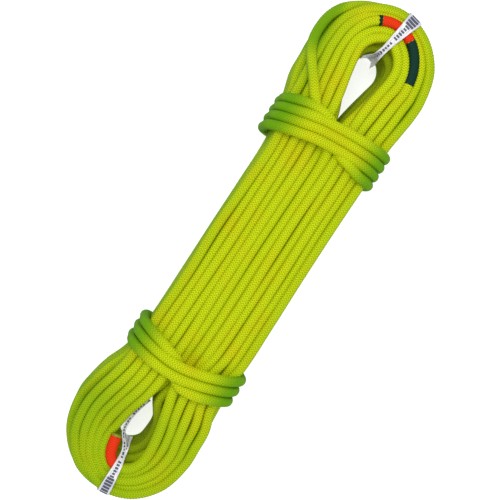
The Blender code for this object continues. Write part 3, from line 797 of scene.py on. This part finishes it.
def sleeve_material(name, colour, braid_shade, roughness):
    """A shrunk-on sleeve: the braid shows through it."""
    nodes = Nodes(name)
    rib, _, column = braid_height(nodes)
    specks = nodes.noise(nodes.place(), scale=700.0)
    height = nodes.math("MULTIPLY_ADD", column, 0.4, rib)
    height = nodes.math("MULTIPLY_ADD", specks, 0.3, height)
    nodes.bump(height, strength=0.55, distance=0.00028)
    # painted shade between the braid's ribs and columns, which show through the sleeve
    colour = with_braid_shade(nodes, rib, column, colour, braid_shade, rib_share=0.55, column_share=0.2)
    nodes.shade(colour=colour, specular=0.15, roughness=nodes.math("MULTIPLY_ADD", specks, 0.2, roughness))
    return nodes.material


def plain_material(name, colour, roughness, grain=600.0, strength=0.2):
    nodes = Nodes(name)
    noise = nodes.noise(nodes.place(), grain, detail=3.0)
    nodes.shade(colour=nodes.mix(noise, colour, tuple(0.8 * c for c in colour)),
                roughness=nodes.math("MULTIPLY_ADD", noise, 0.2, roughness - 0.1))
    nodes.bump(noise, strength, distance=0.0002)
    return nodes.material


# --- pieces ---
def smoothstep(values, low, high):
    share = np.clip((values - low) / (high - low), 0.0, 1.0)
    return share * share * (3 - 2 * share)


def tone_and_painted_shade(line, points, distance, out):
    """How far each of the material's colours shows at each point of the rope's surface, from 0 to 1: most
    are painted shade, and golden is a warmer tone.
    """
    x, y, z = points[..., 0], points[..., 1], points[..., 2]
    up = out[..., 2]
    off_middle, off_waist = np.abs(x - HANK_MIDDLE), np.abs(y)
    packed = 1 - smoothstep(line.at(line.wide, distance), PACKED_ON_TOP[0], 1.0)
    sideways = 1 - smoothstep(up, 0.15, 0.85)
    wrap = (1 - packed) * smoothstep(off_waist, *WRAP_BEGINS) * (1 - smoothstep(off_waist, *WRAP_ENDS))
    green_from = np.where(x > HANK_MIDDLE, *WRAP_GREEN_FROM)
    wrap_end = wrap * smoothstep(off_middle, green_from, green_from + WRAP_GREEN_BLEND)
    from_loop = np.hypot(x / LOOP_RIM[0], (off_waist - LOOP_RIM[1]) / LOOP_RIM[2])
    rim = smoothstep(from_loop, *RIM_INWARDS) * smoothstep(off_waist, *RIM_BEGINS)
    edge = np.maximum(smoothstep(off_middle, *EDGE_GREEN) * (0.35 + 0.65 * sideways),
                      rim * (0.50 + 0.50 * sideways))
    beside = np.maximum(smoothstep(off_middle, *SIDE_SHADE), rim)
    bottom_loop = (0.42 - 0.16 * smoothstep(x, *RIGHT_OF_EYE)) * smoothstep(-y, *BOTTOM_LOOP_GREEN)
    bulge = smoothstep(-x, *BULGE_X) * smoothstep(y, *BULGE_Y)
    walls = 0.45 * sideways * smoothstep(-z, *WALLS_BELOW)
    from_eye = ((x - EYE_MIDDLE[0]) / EYE_HALF[0]) ** 2 + ((off_waist - EYE_MIDDLE[1]) / EYE_HALF[1]) ** 2
    in_eye = (1 - smoothstep(from_eye, *EYE_OUTWARDS)) * smoothstep(-z, *EYE_BELOW)
    # mostly painted shade, in green: the wraps' ends, the sides, the rim, the bulge and the eye's walls;
    # greener over the bottom loop too
    green_tint_and_shade = np.maximum.reduce([wrap_end, 0.8 * edge, bottom_loop * (1 + edge), 0.9 * bulge, walls])
    green_tint_and_shade = np.clip(green_tint_and_shade, 0, 1)
    warm = sum(np.exp(-((x - spot_x) ** 2 + (y - spot_y) ** 2) / radius ** 2)
               for spot_x, spot_y, radius in GOLDEN_SPOTS)
    return {"green_tint_and_shade": green_tint_and_shade,
            # painted shade on the hank's outer sides
            "side": 0.55 * beside * (1 - smoothstep(up, 0.05, 0.60)),
            # painted shade deep in the eye
            "shade": in_eye,
            # painted shade in the creases between packed laps
            "crease_shade": 0.75 * packed * sideways * (1 - green_tint_and_shade),
            "golden": 0.60 * np.clip(warm, 0, 1) * smoothstep(up, 0.0, 0.4)}


def make_rope(line, material):
    rings = ring_distances(line)
    braided = smoothstep(np.interp(rings, line.along, line.seen), 0.0, BRAID_WHOLE)
    points, distance, out = surface(line, rings, ROPE_RADIUS - BRAID_DEPTH / 2, BRAID_DEPTH, braided)
    mesh = tube_mesh("rope", points, distance)
    for name, values in tone_and_painted_shade(line, points, distance, out).items():
        add_value(mesh, name, values)
    return new_object("rope", mesh, material)


def make_sleeve(name, line, start, end, material):
    """A sleeve round a stretch of the rope, with a shallower braid than the rope's own."""
    count = max(4, 2 * round((end - start) / BRAID_PITCH))
    rings = start + (end - start) * np.arange(count + 1) / count
    braided = np.ones(len(rings))
    braided[0] = braided[-1] = 0.0
    points, distance, _ = surface(line, rings, SLEEVE_RADIUS, SLEEVE_BRAID_DEPTH, braided)
    made = new_object(name, tube_mesh(name, points, distance), material)
    return made


def smooth_rows(rows, step):
    """Rows of numbers, read at even steps from a smooth curve through the given ones."""
    rows = np.array(rows, float)
    ends = np.vstack([2 * rows[0] - rows[1], rows, 2 * rows[-1] - rows[-2]])
    found = []
    for i in range(len(rows) - 1):
        a, b, c, d = ends[i:i + 4]
        count = max(2, round(float(np.linalg.norm((c - b)[:2])) / step))
        t = (np.arange(count) / count)[:, None]
        found.append(0.5 * (2 * b + (c - a) * t + (2 * a - 5 * b + 4 * c - d) * t ** 2
                            + (3 * b - a - 3 * c + d) * t ** 3))
    return np.vstack(found + [rows[-1:]])


def ripples(along, across, seed):
    """Gentle folds of a film, from -1 to 1: mostly lengthwise, as in a strip that is pulled narrow."""
    rng = np.random.default_rng(seed)
    total = np.zeros(np.broadcast(along, across).shape)
    for lengthwise, crosswise, share in FOLDS:
        phase = rng.uniform(0, 2 * math.pi, 3)
        sway = FOLD_SWAY * np.sin(lengthwise * along + phase[0])
        total = total + share * np.sin(crosswise * across + sway + phase[1]) * np.cos(
            0.5 * lengthwise * along + phase[2])
    return total


def film_mesh(name, middle, sideways, normal, half, ripple, curl, seed):
    """A thin strip through a row of points, with lengthwise folds. curl is how far its edges are off it."""
    steps = np.linalg.norm(np.diff(middle, axis=0), axis=1)
    along = np.concatenate([[0.0], np.cumsum(steps)])
    across = np.linspace(-1, 1, TAPE_ACROSS + 1)
    lift = ripple[:, None] * (0.5 + 0.5 * ripples(along[:, None], across[None], seed))
    sideways = np.broadcast_to(sideways, middle.shape)
    points = (middle[:, None] + sideways[:, None] * (half[:, None] * across[None])[..., None]
              + normal[:, None] * lift[..., None] + curl[:, None] * (across ** 2)[None, :, None])
    rows, columns = points.shape[:2]
    faces = [(i * columns + j, i * columns + j + 1, (i + 1) * columns + j + 1, (i + 1) * columns + j)
             for i in range(rows - 1) for j in range(columns - 1)]
    mesh = bpy.data.meshes.new(name)
    mesh.from_pydata(points.reshape(-1, 3).tolist(), [], faces)
    uv = mesh.uv_layers.new(name=FILM_UV)
    for loop in mesh.loops:
        i, j = divmod(loop.vertex_index, columns)
        uv.data[loop.index].uv = (across[j], along[i] * 1000)
    mesh.shade_smooth()
    return mesh


def finish_film(name, mesh, material):
    made = new_object(name, mesh, material)
    thick = made.modifiers.new("film", "SOLIDIFY")
    thick.thickness = FILM
    thick.offset = 0
    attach(made, "root")
    return made


def make_band(name, rows, middle, turn, ripple, cup, material, seed):
    """A tape round a loop: down its outer side, over its top and down the eye's wall."""
    rows = smooth_rows(rows, TAPE_STEP)
    outward = np.array([math.sin(turn), math.cos(turn), 0.0])
    sideways = np.array([math.cos(turn), -math.sin(turn), 0.0])
    up = np.array([0.0, 0.0, 1.0])
    start = np.array([middle[0], middle[1], 0.0])
    points = start + rows[:, :1] * outward + rows[:, 1:2] * up + rows[:, 3:4] * sideways
    tangent = unit(np.gradient(points, axis=0))
    normal = unit(np.cross(sideways, tangent))
    middle_of_bundle = start + up * BUNDLE_TOP / 2
    inwards = ((points - middle_of_bundle) * normal).sum(1) < 0
    normal[inwards] *= -1
    gathered = 1 - smoothstep(rows[:, 2], *GATHERED)
    in_eye = 1 - smoothstep(rows[:, 0], *IN_EYE)
    off_floor = smoothstep(rows[:, 1], *OFF_FLOOR)
    strength = ripple * (FLAT_RIPPLE + GATHERED_RIPPLE * gathered + in_eye) * off_floor
    curl = -outward * (cup * in_eye * off_floor)[:, None]
    mesh = film_mesh(name, points, sideways, normal, rows[:, 2], strength, curl, seed)
    return finish_film(name, mesh, material)


def make_tail(name, rows, ripple, material, seed):
    """A loose end of tape, turned by each row's lean."""
    rows = smooth_rows(rows, TAPE_STEP)
    points = rows[:, :3]
    tangent = unit(np.gradient(points, axis=0))
    level = unit(np.cross(tangent, np.array([0.0, 0.0, 1.0])))
    upright = np.cross(level, tangent)
    lean = np.radians(rows[:, 4:5])
    sideways = level * np.cos(lean) - upright * np.sin(lean)
    normal = np.cross(sideways, tangent)
    normal[normal[:, 2] < 0] *= -1
    mesh = film_mesh(name, points, sideways, normal, rows[:, 3], np.full(len(rows), ripple),
                     np.zeros_like(points), seed)
    return finish_film(name, mesh, material)


def tape_material():
    """White film with a row of plain dark dashes along its middle, and painted shade: grey along its folds
    and over its outer bend.
    """
    nodes = Nodes("tape_white_film")
    uv, across, along = nodes.split_uv(FILM_UV)
    cell = nodes.math("MULTIPLY", along, 1 / DASH_PITCH)
    pick = nodes.add("ShaderNodeTexWhiteNoise", noise_dimensions="1D")
    nodes.feed(pick.inputs["W"], nodes.math("FLOOR", cell))
    chance = pick.outputs["Value"]
    off_bold = nodes.math("ABSOLUTE", nodes.math("SUBTRACT", along, BOLD_AT))
    bold = nodes.math("LESS_THAN", off_bold, BOLD_HALF)
    height = nodes.math("MULTIPLY_ADD", chance, 0.22, 0.28)
    height = nodes.math("MULTIPLY_ADD", bold, 0.30, height)
    inside = nodes.math("LESS_THAN", nodes.math("ABSOLUTE", across), height)
    share = nodes.math("MULTIPLY_ADD", bold, BOLD_DASH_MORE, DASH_SHARE)
    dash = nodes.math("LESS_THAN", nodes.math("FRACT", cell), share)
    kept = nodes.math("GREATER_THAN", chance, 0.12)
    ink = nodes.math("MULTIPLY", nodes.math("MULTIPLY", inside, dash), kept)
    streak = nodes.add("ShaderNodeMapping")
    nodes.feed(streak.inputs["Vector"], uv)
    nodes.feed(streak.inputs["Scale"], (2.6, 0.09, 1.0))
    folds = nodes.noise(streak.outputs["Vector"], scale=1.6)
    # painted shade: grey streaks along the film's folds, and grey over its outer bend
    film_shade = nodes.math("MULTIPLY", nodes.math("SUBTRACT", folds, 0.40), 2.6)
    film_shade = nodes.math("MAXIMUM", film_shade, nodes.math("MULTIPLY", bold, 0.45))
    film = nodes.mix(film_shade, (0.80, 0.80, 0.82), (0.36, 0.37, 0.45))
    cloud = nodes.noise(nodes.place(), scale=160.0, detail=3.0)
    nodes.shade(colour=nodes.mix(nodes.math("MULTIPLY", ink, 0.92), film, (0.012, 0.018, 0.060)),
                roughness=nodes.math("MULTIPLY_ADD", cloud, 0.2, 0.25))
    nodes.bump(cloud, strength=0.35, distance=0.0004)
    return nodes.material


def make_tapes():
    film = tape_material()
    top = make_band("top_tape", TOP_TAPE, TOP_TAPE_MIDDLE, TOP_TAPE_TURN, TOP_TAPE_RIPPLE, TOP_TAPE_CUP,
                    film, SEED + 1)
    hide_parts("tape_top")
    bottom = make_band("bottom_tape", BOTTOM_TAPE, BOTTOM_TAPE_MIDDLE, BOTTOM_TAPE_TURN, BOTTOM_TAPE_RIPPLE,
                       BOTTOM_TAPE_CUP, film, SEED + 2)
    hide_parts("tape_bottom")
    make_tail("bottom_tape_tail", TAPE_TAIL, TAIL_RIPPLE, film, SEED + 3)


def make_tip(name, line, start, end, material):
    """The melted end of the rope: a shallow dome with a rolled rim."""
    rings = start + (end - start) * np.array(TIP_SHARES)
    sizes = ROPE_RADIUS * np.array(TIP_SIZES)
    middle = line.at(line.points, rings)
    across = line.at(line.across, rings)
    beside = np.cross(unit(line.at(line.tangents, rings)), across)
    angle = 2 * np.pi * np.arange(2 * AROUND) / (2 * AROUND)
    lumps = 1 + 0.03 * np.sin(3 * angle + 0.7) + 0.02 * np.sin(7 * angle)
    out = across[:, None] * np.cos(angle)[None, :, None] + beside[:, None] * np.sin(angle)[None, :, None]
    points = middle[:, None] + out * (sizes[:, None] * lumps[None])[..., None]
    if end < start:
        points = points[::-1]
    made = new_object(name, tube_mesh(name, points, np.zeros(points.shape[:2])), material)
    return made


def make_sleeves(route, line):
    """The middle mark's three sleeves, and the one on each end of the rope."""
    red = sleeve_material("sleeve_red_braid", colour=(0.82, 0.036, 0.001), braid_shade=(0.45, 0.012, 0.0005),
                          roughness=0.55)
    green = sleeve_material("sleeve_green_braid", colour=(0.001, 0.036, 0.022), braid_shade=(0.0, 0.012, 0.008),
                            roughness=0.5)
    first, last = (line.distance_of(control) for control in route.marked_lap)
    loop_start = line.nearest(LOOP_RIGHT, first, last)
    loop_end = line.nearest(LOOP_LEFT, first, last)
    ring_at = line.nearest(MARK_RING, loop_start, loop_end)
    red_end = line.nearest(MARK_RED_END, loop_start, loop_end)
    green_end = line.nearest(MARK_GREEN_END, first, loop_end)
    outer_end = line.length - TIP_LENGTH
    pieces = []
    for name, node, slot, start, end, look in (
            ("middle_mark_green_sleeve", "middle_mark_green", "sleeve_dark_green",
             green_end, red_end - MARK_GAP, green),
            ("middle_mark_red_sleeve", "middle_mark_red", "sleeve_red",
             red_end, ring_at - RING_HALF - MARK_GAP, red),
            ("middle_mark_ring_sleeve", "middle_mark_ring", "sleeve_dark_green",
             ring_at - RING_HALF, ring_at + RING_HALF, green),
            ("outer_end_sleeve", "end_sleeve_red", "sleeve_red",
             outer_end - END_SLEEVE_LENGTH, outer_end, red),
            ("tucked_end_sleeve", "tucked_end_sleeve_red", "sleeve_red",
             TIP_LENGTH, TIP_LENGTH + TUCKED_SLEEVE_LENGTH, red)):
        piece = make_sleeve(name, line, start, end, look)
        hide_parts(node)
        pieces.append(piece)
    return pieces


def make_tips(line):
    fused = plain_material("fused_tip", colour=(0.24, 0.20, 0.03), roughness=0.3)
    outer = make_tip("outer_end_tip", line, line.length - TIP_LENGTH, line.length, fused)
    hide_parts("end_tip_fused")
    tucked = make_tip("tucked_end_tip", line, TIP_LENGTH, 0.0, fused)
    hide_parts("tucked_end_tip_fused")
    return [outer, tucked]


def dress_core():
    """A better material for the core strands and the ribbon, which stay from the CAD."""
    core = plain_material("core_white_nylon", colour=(0.86, 0.86, 0.82), roughness=0.7, grain=1500.0,
                          strength=0.6)
    for name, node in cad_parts.items():
        if name.startswith("core_"):
            node.data.materials.clear()
            node.data.materials.append(core)


def main():
    route = rope_route()
    line = Line(route)
    rope = make_rope(line, rope_material())
    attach(rope, "root")
    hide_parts("hank_bundle", "loose_lap", "end_run", "end_sheath", "tucked_end_run",
                "middle_mark_run", *[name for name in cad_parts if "_wrap_turn_" in name])
    pieces = make_sleeves(route, line) + make_tips(line)
    for piece in pieces:
        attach(piece, "root")
    make_tapes()
    dress_core()
    make_stage()


def make_stage():
    """A white floor and world, and two soft lights."""
    corners = [(x * FLOOR_HALF, y * FLOOR_HALF, 0) for x, y in ((-1, -1), (1, -1), (1, 1), (-1, 1))]
    mesh = bpy.data.meshes.new("floor")
    mesh.from_pydata(corners, [], [(0, 1, 2, 3)])
    look = Nodes("floor_pale")
    look.shade(colour=(0.50, 0.50, 0.50, 1.0), roughness=0.9, glow_colour=WHITE, glow=0.76)
    floor = new_object("floor", mesh, look.material)
    floor.location.z = -FLOOR_GAP
    world = bpy.data.worlds.new("studio")
    bpy.context.scene.world = world
    world.use_nodes = True
    background = world.node_tree.nodes["Background"]
    background.inputs["Color"].default_value = WHITE
    background.inputs["Strength"].default_value = 0.82
    add_light("key", (-0.45, 0.35, 1.30), size=0.7, power=8.0)
    add_light("fill", (0.70, -0.50, 0.90), size=0.9, power=2.0)


def add_light(name, place, size, power):
    light = bpy.data.lights.new(name, "AREA")
    light.size = size
    light.energy = power
    made = bpy.data.objects.new(name, light)
    made.location = place
    made.rotation_euler = Vector(place).to_track_quat("Z", "Y").to_euler()
    bpy.context.scene.collection.objects.link(made)


def make_camera():
    data = bpy.data.cameras.new("camera")
    data.lens = CAMERA_LENS
    camera = bpy.data.objects.new("camera", data)
    place = Vector((*CAMERA_FOOT, BUNDLE_TOP + CAMERA_ABOVE))
    aim = Vector((*CAMERA_AIM, BUNDLE_TOP))
    forward = (aim - place).normalized()
    up_hint = Vector((-math.sin(CAMERA_LEAN), math.cos(CAMERA_LEAN), 0.0))
    right = forward.cross(up_hint).normalized()
    up = right.cross(forward)
    turned = Matrix((right, up, -forward)).transposed().to_4x4()
    camera.matrix_world = Matrix.Translation(place) @ turned
    bpy.context.scene.collection.objects.link(camera)
    bpy.context.scene.camera = camera


bpy.context.scene.view_settings.view_transform = "Standard"
make_camera()
main()
